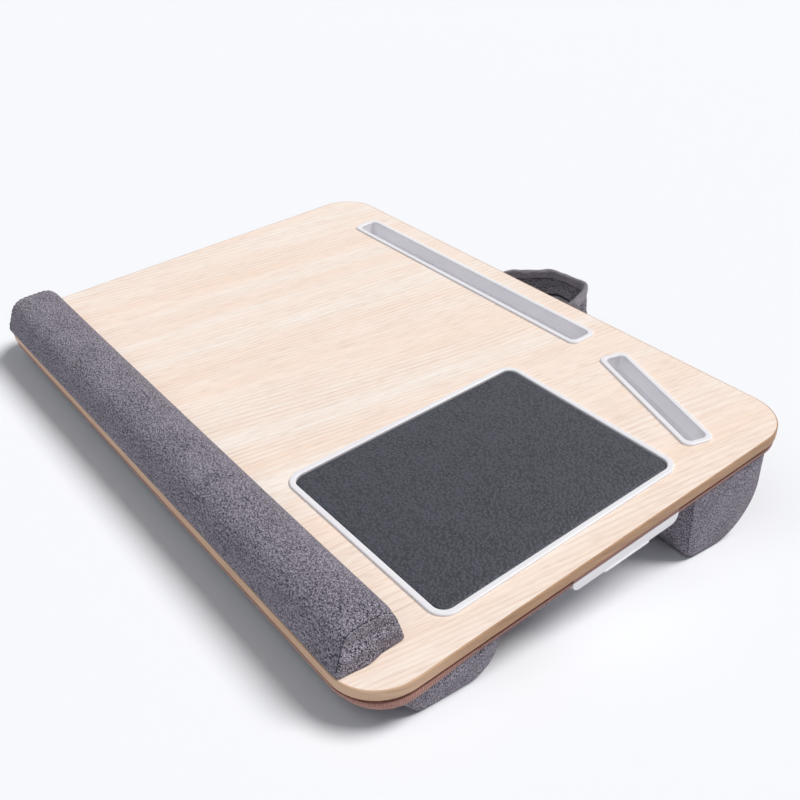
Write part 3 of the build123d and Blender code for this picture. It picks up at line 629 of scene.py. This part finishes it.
def stitches(name, paths, length, pitch, radius):
    """A row of short threads along each path of points in metres. Their sizes are in millimetres."""
    points, faces = [], []
    for path in paths:
        path = np.array([tuple(p) for p in path])
        count = int(runs(path)[-1] / pitch / MM)
        fine = even(path, count * STITCH_STEPS + 1)
        for s in range(count):
            first = s * STITCH_STEPS
            middle = fine[first + STITCH_STEPS // 2]
            ahead = fine[first + STITCH_STEPS * 3 // 4] - fine[first + STITCH_STEPS // 4]
            ahead /= np.linalg.norm(ahead)
            across = np.cross(ahead, STITCH_SIDE)
            across /= np.linalg.norm(across)
            up = np.cross(ahead, across)
            faces += tube_faces(len(STITCH_FORM), STITCH_SIDES, start=len(points))
            for along, share in STITCH_FORM:
                for turn in range(STITCH_SIDES):
                    angle = turn * 2 * math.pi / STITCH_SIDES
                    offset = (across * math.cos(angle) + up * math.sin(angle)) * radius * share
                    points.append(middle + (ahead * along * length + offset) * MM)
    return add_mesh(name, points, faces, THREAD)


# The wrist rest: its feet, how far they stand out past its upper corners, and the radii of those, back and front.
# Its end seams are stitched from the height STITCHED_FROM up.
WRIST_FRONT, WRIST_BACK = -195.2, -146.6
WRIST_BASE, WRIST_TOP = 0.25, 26.0
WRIST_FRONT_LEAN, WRIST_BACK_LEAN = 9.8, 3.4
WRIST_RADII = (10.5, 13.0)
WRIST_HALF_LENGTH = 249.4
WRIST_LEFT_SWELL = 0.075
STITCHED_FROM = 1.5
WRIST_LEFT_CAP = Cap(lean=0.2, bulge=2.4, draw=0.9)
WRIST_RIGHT_CAP = Cap(lean=3.2, bulge=1.4, draw=1.9, skew=4.0, push=2.3, fold=2.4, pinch=1.6)


def above_board(place):
    """Keeps a point of the wrist rest on or above the board."""
    depth = (place - BOARD_ORIGIN).dot(UPWARD)
    return place + UPWARD * max(0.0, WRIST_BASE * MM - depth)


wrist_outline = rounded(
    [(WRIST_BACK, WRIST_BASE), (WRIST_BACK - WRIST_BACK_LEAN, WRIST_TOP),
     (WRIST_FRONT + WRIST_FRONT_LEAN, WRIST_TOP), (WRIST_FRONT, WRIST_BASE)],
    WRIST_RADII,
)
wrist_cover, wrist_seams = padded_roll(
    "wrist_rest_fabric", wrist_outline, WRIST_HALF_LENGTH, WRIST_LEFT_CAP, WRIST_RIGHT_CAP, above_board,
    left_swell=WRIST_LEFT_SWELL)
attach(wrist_cover, "desk")
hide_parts("wrist_rest_cover", "wrist_rest_core")
sewn_seams = [
    [p for p in seam if (p - BOARD_ORIGIN).dot(UPWARD) > STITCHED_FROM * MM]
    for seam in wrist_seams
]
wrist_thread = stitches("wrist_rest_seam_thread", sewn_seams, length=3.4, pitch=4.0, radius=0.5)
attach(wrist_thread, "desk")

# The bolsters: their flat top just under the base panel, and how far the corners of their section and their lowest
# points stay above the floor
CUSHION_TOP = BASE_LEVEL - 0.25
CUSHION_HALF_LENGTH = 272.0
CUSHION_LIFT = 0.8
FLOOR_CLEAR = 0.2


def under_base(place):
    """Keeps a point of a bolster below the base panel and above the floor."""
    height = (place - BOARD_ORIGIN).dot(UPWARD)
    place = place - UPWARD * max(0.0, height - CUSHION_TOP * MM)
    return Vector((place.x, place.y, max(place.z, FLOOR_CLEAR * MM)))


def bolster(name, front, back, front_lean, back_lean, radii, cap_bulge):
    """A cushion that hangs from the base panel and stands on the floor. The leans move its lower corners in."""
    cap = Cap(lean=1.5, bulge=cap_bulge, draw=0.5)
    foot_front, foot_back = front + front_lean, back - back_lean
    outline = rounded(
        [(front, CUSHION_TOP), (foot_front, floor_w(foot_front, CUSHION_LIFT)),
         (foot_back, floor_w(foot_back, CUSHION_LIFT)), (back, CUSHION_TOP)],
        radii,
    )
    cover, seams = padded_roll(name + "_fabric", outline, CUSHION_HALF_LENGTH, cap, cap, under_base)
    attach(cover, "desk")
    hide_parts(name + "_cover", name + "_core")
    thread = stitches(name + "_seam_thread", seams, length=2.4, pitch=2.2, radius=0.24)
    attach(thread, "desk")


bolster(
    "rear_cushion", front=84.0, back=164.5, front_lean=5.0, back_lean=-4.0, radii=(12.0, 37.0), cap_bulge=3.0)
bolster(
    "front_cushion", front=-171.5, back=-93.5, front_lean=13.0, back_lean=6.5, radii=(14.0, 20.0), cap_bulge=3.5)

# The tape round the base panel is gathered at the front corners: it stands out and hangs lower there

# The tape's own outline, and how far the gathered lip stays outside and below it
TAPE_EDGE_X, TAPE_EDGE_V, TAPE_RADIUS = 274.0, -194.0, 34.0
TAPE_TOP, TAPE_BOTTOM = -10.7, -13.55
TAPE_CLEAR, TAPE_CLEAR_BELOW = 0.03, 0.02

# The lip starts at an angle in the corner's arc and ends along the side. It is fullest at a share of its run, and
# stands out and hangs lower by the most given here.
GATHER_FROM, GATHER_SIDE = math.radians(18), 48.0
GATHER_STEPS, GATHER_ARC_STEPS = 48, 24
GATHER_PEAK, GATHER_LEAST = 0.36, 0.02
GATHER_DEEP, GATHER_PROUD = 2.9, 1.2


def lip_section(full):
    """Places round the lip where it is full by a share: out past the tape's edge, and level on the board."""
    proud, deep = GATHER_PROUD * full, GATHER_DEEP * full
    return (
        (TAPE_CLEAR, TAPE_TOP),
        (0.6 * proud, TAPE_TOP - 0.1 * full),
        (0.95 * proud, TAPE_TOP - 1.0),
        (proud, TAPE_TOP - 2.2 - 0.4 * deep),
        (0.75 * proud, TAPE_BOTTOM - 0.8 * deep),
        (0.1 * proud, TAPE_BOTTOM - deep),
        (-0.9, TAPE_BOTTOM - 0.8 * deep),
        (-1.3, TAPE_BOTTOM - TAPE_CLEAR_BELOW),
        (TAPE_CLEAR, TAPE_BOTTOM - TAPE_CLEAR_BELOW),
    )


def gathered_tape(name, side):
    """A lip of tape outside and under the base panel's own, round the front corner on one side."""
    centre = (TAPE_EDGE_X - TAPE_RADIUS, TAPE_EDGE_V + TAPE_RADIUS)
    arc = [(centre[0] + TAPE_RADIUS * math.sin(a), centre[1] - TAPE_RADIUS * math.cos(a))
           for a in np.linspace(GATHER_FROM, math.pi / 2, GATHER_ARC_STEPS)]
    path = even(arc + [(TAPE_EDGE_X, centre[1] + GATHER_SIDE)], GATHER_STEPS)
    points = []
    for t, (x, v), (ahead_x, ahead_v) in zip(np.linspace(0, 1, GATHER_STEPS), path, headings(path)):
        full = GATHER_LEAST + (math.sin(t / GATHER_PEAK * math.pi / 2) if t < GATHER_PEAK
                               else math.cos((t - GATHER_PEAK) / (1 - GATHER_PEAK) * math.pi / 2) ** 2)
        section = lip_section(full)
        points += [on_board(side * (x + ahead_v * n), v - ahead_x * n, w) for n, w in section]
    faces = [face[::side] for face in tube_faces(GATHER_STEPS, len(section))]
    return add_mesh(name, points, faces, finishes["edge_tape"])


for tape_name, tape_side in (("gathered_tape_right", 1), ("gathered_tape_left", -1)):
    gathered = gathered_tape(tape_name, tape_side)
    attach(gathered, "desk")

# Leather pad in the mouse tray

PAD_WIDTH, PAD_DEPTH = 160.0, 206.0
PAD_RADIUS, PAD_LEAST_RADIUS = 8.5, 1.2
PAD_ARC_STEPS = 6

# The pad's rings, from its underside over its rim to its middle: inset from its outline, and level on the board
PAD_RINGS = (
    (0.0, -1.4), (0.0, -0.9), (0.25, -0.45), (0.8, 0.0), (1.8, 0.25),
    (4.0, 0.36), (12.0, 0.44), (30.0, 0.5), (60.0, 0.55),
)
pad_low, pad_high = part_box("mouse_pad_leather")
pad_centre = (pad_low + pad_high) / 2 - BOARD_ORIGIN
PAD_X = pad_centre.x / MM
PAD_V = pad_centre.dot(BACKWARD) / MM


def pad_ring(inset, w):
    """A rounded rectangle inset from the pad's outline, at height w."""
    half_x, half_v = PAD_WIDTH / 2 - inset, PAD_DEPTH / 2 - inset
    radius = max(PAD_RADIUS - inset, PAD_LEAST_RADIUS)
    ring = []
    for corner, (sx, sv) in enumerate(((1, 1), (-1, 1), (-1, -1), (1, -1))):
        for t in range(PAD_ARC_STEPS + 1):
            a = (corner + t / PAD_ARC_STEPS) * math.pi / 2
            ring.append((PAD_X + sx * (half_x - radius) + radius * math.cos(a),
                         PAD_V + sv * (half_v - radius) + radius * math.sin(a), w))
    return ring


def leather_pad():
    """Leather drawn over foam: it rolls down at the rim and is a little crowned."""
    rings = [pad_ring(inset, w) for inset, w in PAD_RINGS]
    points = [on_board(*p) for ring in rings for p in ring]
    return add_mesh("mouse_pad_leather_cover", points, tube_faces(len(rings), len(rings[0])), LEATHER)


pad = leather_pad()
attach(pad, "desk")
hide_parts("mouse_pad_leather", "mouse_pad_foam")

# Carry strap: an upright band of doubled cloth, hemmed along both edges

# The strap's own frame starts midway between its rivets: across along x, out along its rise, and up
HINGE = (-6.5, 187.0, -34.0)
STRAP_RISE = TILT + math.radians(13.0)
STRAP_OUT = Vector((0, math.cos(STRAP_RISE), math.sin(STRAP_RISE)))
STRAP_UP = Vector((0, -math.sin(STRAP_RISE), math.cos(STRAP_RISE)))
STRAP_ORIGIN = on_board(*HINGE)

# The corners of its loop, as shares of half the span across and of the reach out, and the radius of its bends
STRAP_SPAN, STRAP_REACH = 81.0, 56.0
STRAP_CORNERS = ((-1.0, 0.0), (-1.0, 0.40), (-0.12, 0.985), (0.86, 1.0), (1.0, 0.32), (1.0, 0.0))
STRAP_BEND = 13.0
STRAP_STEPS = 72

# Stations in its round ends, as shares of half the width, and the share of its thickness that is left at the tips
STRAP_TAIL = (0.985, 0.94, 0.84, 0.66, 0.42, 0.2)
STRAP_THIN_TIP = 0.35

# Where it is free of its rivets, it bellies to the right and grows taller
STRAP_FREE_FROM, STRAP_FREE_TO = 14.0, 32.0
STRAP_BELLY, STRAP_LIFT = 4.5, 2.6

# Its upper edge rises by a crown on the left and the right, grown between two places out, and flares to the right
STRAP_CROWN, STRAP_FLARE = (3.2, 4.6), 4.5
STRAP_CROWN_OUT = (16.5, 23.0)
STRAP_CROWN_SIDE = (0.2, 0.9)

# The length and size of its soft folds, what half its width counts as in them, and how far they stay from its ends
STRAP_FOLDS = ((24.0, 2.6), (9.0, 1.3))
STRAP_FOLD_HEIGHT = 20
STRAP_CALM_ENDS = 25.0

# How far the hems' stitches lie from the band's middle layer
HEM_THREAD_OUT = 1.15

# The band's section on one face: height as a share of half the width, and half thickness in millimetres.
# The hems along both edges are a fold thicker than the cloth between them.
STRAP_SECTION = (
    (-1.0, 0.6), (-0.97, 1.9), (-0.86, 2.6), (-0.64, 2.5), (-0.58, 2.2), (-HEM_SHARE, 1.0),
    (-0.53, 1.1), (-0.3, 1.7), (0.0, 1.8), (0.3, 1.7), (0.53, 1.1),
    (HEM_SHARE, 1.0), (0.58, 2.2), (0.64, 2.5), (0.86, 2.6), (0.97, 1.9), (1.0, 0.6),
)


def strap_stations():
    """Places along the strap's middle line, from the round end on one rivet to the other, each with the way
    ahead, the band's width there as a share, and the run so far."""
    corners = [(a * STRAP_SPAN / 2, o * STRAP_REACH) for a, o in STRAP_CORNERS]
    path = even(rounded(corners, [STRAP_BEND] * (len(corners) - 2)), STRAP_STEPS)
    heading = headings(path)
    tail = [(s, math.sqrt(1 - s * s)) for s in STRAP_TAIL]
    half = STRAP_WIDTH / 2
    stations = [(path[0] - heading[0] * s * half, heading[0], share) for s, share in tail]
    stations += [(place, ahead, 1.0) for place, ahead in zip(path, heading)]
    stations += [(path[-1] + heading[-1] * s * half, heading[-1], share) for s, share in tail[::-1]]
    steps = [np.linalg.norm(b[0] - a[0]) for a, b in zip(stations, stations[1:])]
    return [(*station, run) for station, run in zip(stations, np.cumsum([0] + steps))]


STATIONS = strap_stations()
STRAP_RUN = STATIONS[-1][3]


def ease(value, start, end):
    """0 up to start, 1 from end on, smooth between."""
    t = np.clip((value - start) / (end - start), 0, 1)
    return t * t * (3 - 2 * t)


def strap_point(station, height, thick):
    """A point of the band, in metres. height is a share of half its width, thick is out from its middle layer."""
    place, ahead, share, run = station
    side = np.array((-ahead[1], ahead[0]))
    free = ease(place[1], STRAP_FREE_FROM, STRAP_FREE_TO)
    calm = min(1.0, run / STRAP_CALM_ENDS, (STRAP_RUN - run) / STRAP_CALM_ENDS)
    fold = sum(size * noise.noise(Vector((run / length, height * STRAP_FOLD_HEIGHT / length, length)))
               for length, size in STRAP_FOLDS)
    thick *= STRAP_THIN_TIP + (1 - STRAP_THIN_TIP) * share
    spot = place + side * (thick + fold * calm)
    across = spot[0] + STRAP_BELLY * free * np.clip(place[0] / STRAP_SPAN * 2, 0, 1)
    rise = height * (STRAP_WIDTH / 2 * share + STRAP_LIFT * free)
    out = ease(place[1], *STRAP_CROWN_OUT)
    left, right = (ease(sign * place[0] / STRAP_SPAN * 2, *STRAP_CROWN_SIDE) for sign in (-1, 1))
    top = max(0.0, height) * out
    rise += top * (STRAP_CROWN[0] * left + STRAP_CROWN[1] * right)
    across += top * STRAP_FLARE * right
    return STRAP_ORIGIN + (ACROSS * float(across) + STRAP_OUT * float(spot[1]) + STRAP_UP * float(rise)) * MM


def strap():
    outline = list(STRAP_SECTION) + [(h, -t) for h, t in STRAP_SECTION[::-1]]
    points = [strap_point(station, *spot) for station in STATIONS for spot in outline]
    count = len(outline)
    cloth = [(h * STRAP_WIDTH / 2 + (STRAP_FACE_STEP if t < 0 else 0)) * MM for h, t in outline]
    faces = tube_faces(len(STATIONS), count)
    uvs = [[(STATIONS[r][3] * MM, cloth[j]) for r, j in corners] for corners in tube_corners(len(STATIONS), count)]
    uvs += [[(0.0, cloth[i % count]) for i in loop] for loop in faces[-2:]]
    return add_mesh("carry_strap_fabric", points, faces, STRAP_FABRIC, uvs)


band = strap()
subdivide(band)
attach(band, "handle")
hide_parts("handle_strap")
hem_paths = [
    [strap_point(station, edge * HEM_SHARE, face * HEM_THREAD_OUT) for station in STATIONS if station[2] == 1.0]
    for edge in (-1, 1)
    for face in (-1, 1)
]
hem_thread = stitches("carry_strap_hem_thread", hem_paths, length=2.8, pitch=3.6, radius=0.3)
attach(hem_thread, "handle")

# Finishes of the solids that show as they are
for node_name, node in nodes.items():
    node.data.materials.clear()
    node.data.materials.append(finishes[slot_of_node[node_name]])

# Floor, world and lamps

FLOOR_SIZE = 40.0
FLOOR_COLOUR = colour(246, 247, 251)
BACKDROP_COLOUR = colour(250, 251, 254)
SKY_TINT, SKY_STRENGTH = (0.83, 0.90, 1.0, 1.0), 0.12


def floor():
    half = FLOOR_SIZE / 2
    f = Finish("floor", roughness=0.9, specular=0.1)
    f.surface.inputs["Base Color"].default_value = FLOOR_COLOUR
    corners = [(-half, -half, 0), (half, -half, 0), (half, half, 0), (-half, half, 0)]
    return add_mesh("floor", corners, [[0, 1, 2, 3]], f.material)


floor()


def world():
    """Even light all round, with a pale backdrop where the camera or a reflection sees it."""
    scene_world = bpy.data.worlds.new("studio")
    scene_world.use_nodes = True
    bpy.context.scene.world = scene_world
    tree = scene_world.node_tree
    light = tree.nodes["Background"]
    light.inputs["Color"].default_value = SKY_TINT
    light.inputs["Strength"].default_value = SKY_STRENGTH
    backdrop = tree.nodes.new("ShaderNodeBackground")
    backdrop.inputs["Color"].default_value = BACKDROP_COLOUR
    path = tree.nodes.new("ShaderNodeLightPath")
    sees = path.outputs["Is Camera Ray"]
    for ray in ("Is Glossy Ray", "Is Transmission Ray"):
        either = tree.nodes.new("ShaderNodeMath")
        either.operation = "MAXIMUM"
        tree.links.new(sees, either.inputs[0])
        tree.links.new(path.outputs[ray], either.inputs[1])
        sees = either.outputs[0]
    mix = tree.nodes.new("ShaderNodeMixShader")
    tree.links.new(sees, mix.inputs[0])
    tree.links.new(light.outputs[0], mix.inputs[1])
    tree.links.new(backdrop.outputs[0], mix.inputs[2])
    tree.links.new(mix.outputs[0], tree.nodes["World Output"].inputs[0])


def sun(name, towards, strength, softness, tint):
    """A lamp that shines towards a direction, as if from a disc softness degrees wide."""
    lamp = bpy.data.lights.new(name, "SUN")
    lamp.energy = strength
    lamp.angle = math.radians(softness)
    lamp.color = tint
    obj = bpy.data.objects.new(name, lamp)
    obj.rotation_mode = "QUATERNION"
    obj.rotation_quaternion = Vector(towards).to_track_quat("-Z", "Y")
    bpy.context.scene.collection.objects.link(obj)


world()
sun("key_light", towards=(-0.28, -0.48, -1.0), strength=2.74, softness=27, tint=(1.0, 0.985, 0.965))
sun("fill_light", towards=(-0.05, 0.62, -0.78), strength=0.66, softness=50, tint=(0.93, 0.97, 1.0))

# Camera, fitted to the board's edges, pad and slots; the lens and the sensor are in millimetres
CAMERA_PLACE = (0.5448, -0.4543, 0.4218)
CAMERA_TURN = (0.768112, 0.468709, 0.185821, 0.394697)
CAMERA_LENS, CAMERA_SENSOR = 43.19, 36.0
camera_data = bpy.data.cameras.new("camera")
camera_data.lens = CAMERA_LENS
camera_data.sensor_width = CAMERA_SENSOR
camera = bpy.data.objects.new("camera", camera_data)
camera.location = CAMERA_PLACE
camera.rotation_mode = "QUATERNION"
camera.rotation_quaternion = CAMERA_TURN
bpy.context.scene.collection.objects.link(camera)
bpy.context.scene.camera = camera
bpy.context.scene.view_settings.view_transform = "Standard"
